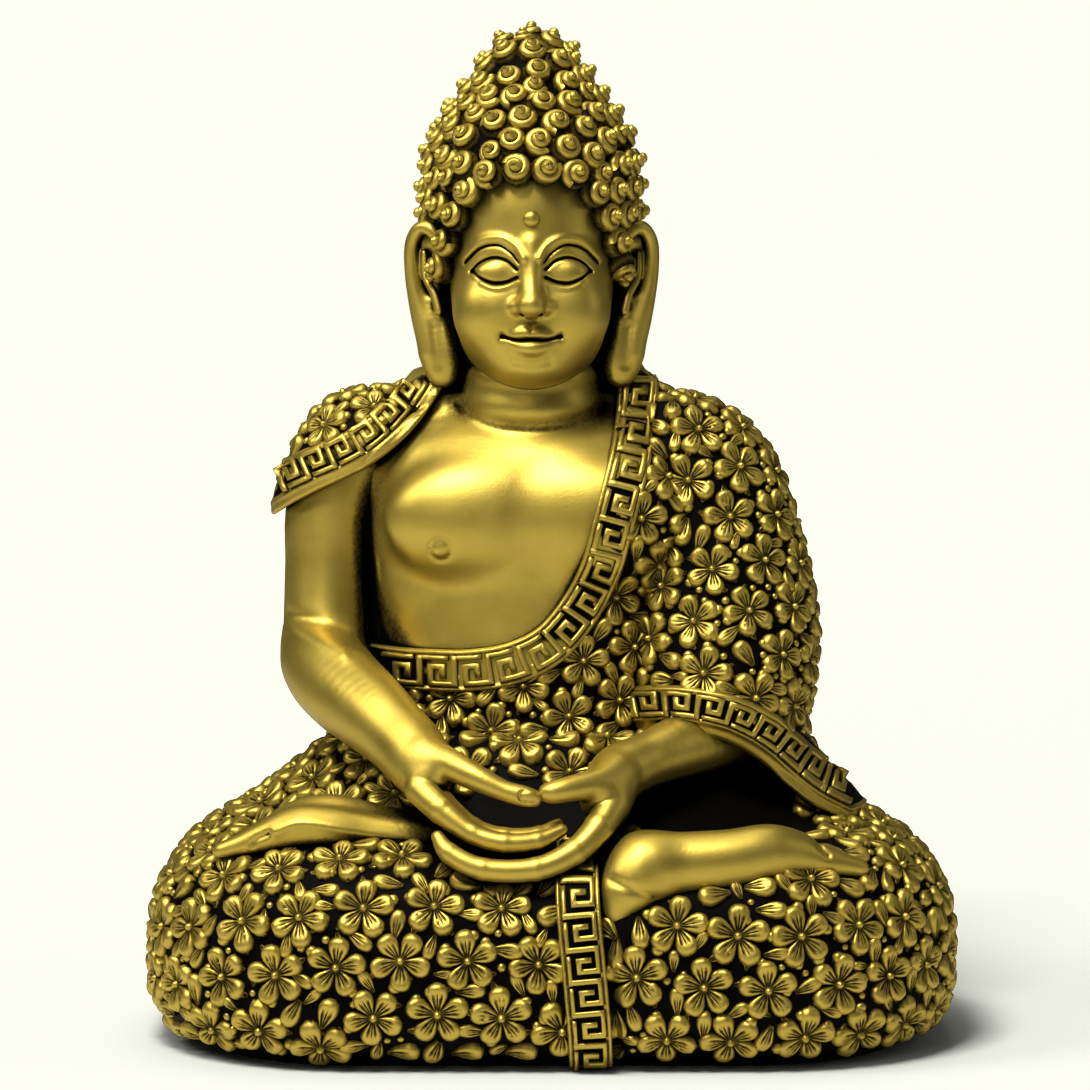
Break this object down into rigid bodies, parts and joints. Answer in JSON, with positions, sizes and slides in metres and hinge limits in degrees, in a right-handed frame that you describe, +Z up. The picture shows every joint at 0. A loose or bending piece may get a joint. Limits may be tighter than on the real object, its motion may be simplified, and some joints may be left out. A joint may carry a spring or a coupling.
{
  "type": "buddha statue",
  "caption": "Seated meditating buddha figurine of cast resin in antique gold, with snail-curl hair, a flowered robe with key-pattern borders and a felted closed base",
  "frame": {"origin": "The middle of the underside, on the face the statue stands on", "axes": "+Z is up, the figure faces -Y, and +X is the figure's own left"},
  "size_m": [0.2398, 0.1537, 0.298],
  "materials": {
    "gold_resin": "satin antique gold paint dry-brushed over black on cast resin, with black left in the recesses",
    "plate_resin": "bare dark cast resin",
    "plug_rubber": "matt black",
    "felt": "black pressed felt, glued on"
  },
  "bodies": {
    "root": {"lap_casting": "gold_resin", "base_plate": "plate_resin", "filler_plug": "plug_rubber", "felt_sheet": "felt", "torso_casting": "gold_resin", "neck": "gold_resin", "head_casting": "gold_resin", "urna_bead": "gold_resin", "hair_cap": "gold_resin", "hair_curls": "gold_resin", "right_ear": "gold_resin", "left_ear": "gold_resin", "right_arm": "gold_resin", "left_forearm": "gold_resin", "right_hand": "gold_resin", "left_hand": "gold_resin", "robe_body": "gold_resin", "collar_band": "gold_resin", "left_sleeve": "gold_resin", "sleeve_band": "gold_resin", "shoulder_flap": "gold_resin", "shoulder_band": "gold_resin", "front_sash": "gold_resin", "right_foot": "gold_resin", "left_foot": "gold_resin", "collar_key_pattern": "gold_resin", "sleeve_key_pattern": "gold_resin", "sash_key_pattern": "gold_resin", "shoulder_key_pattern": "gold_resin", "lap_flowers": "gold_resin", "sleeve_flowers": "gold_resin", "robe_flowers": "gold_resin", "shoulder_flowers": "gold_resin"}
  },
  "joints": []
}
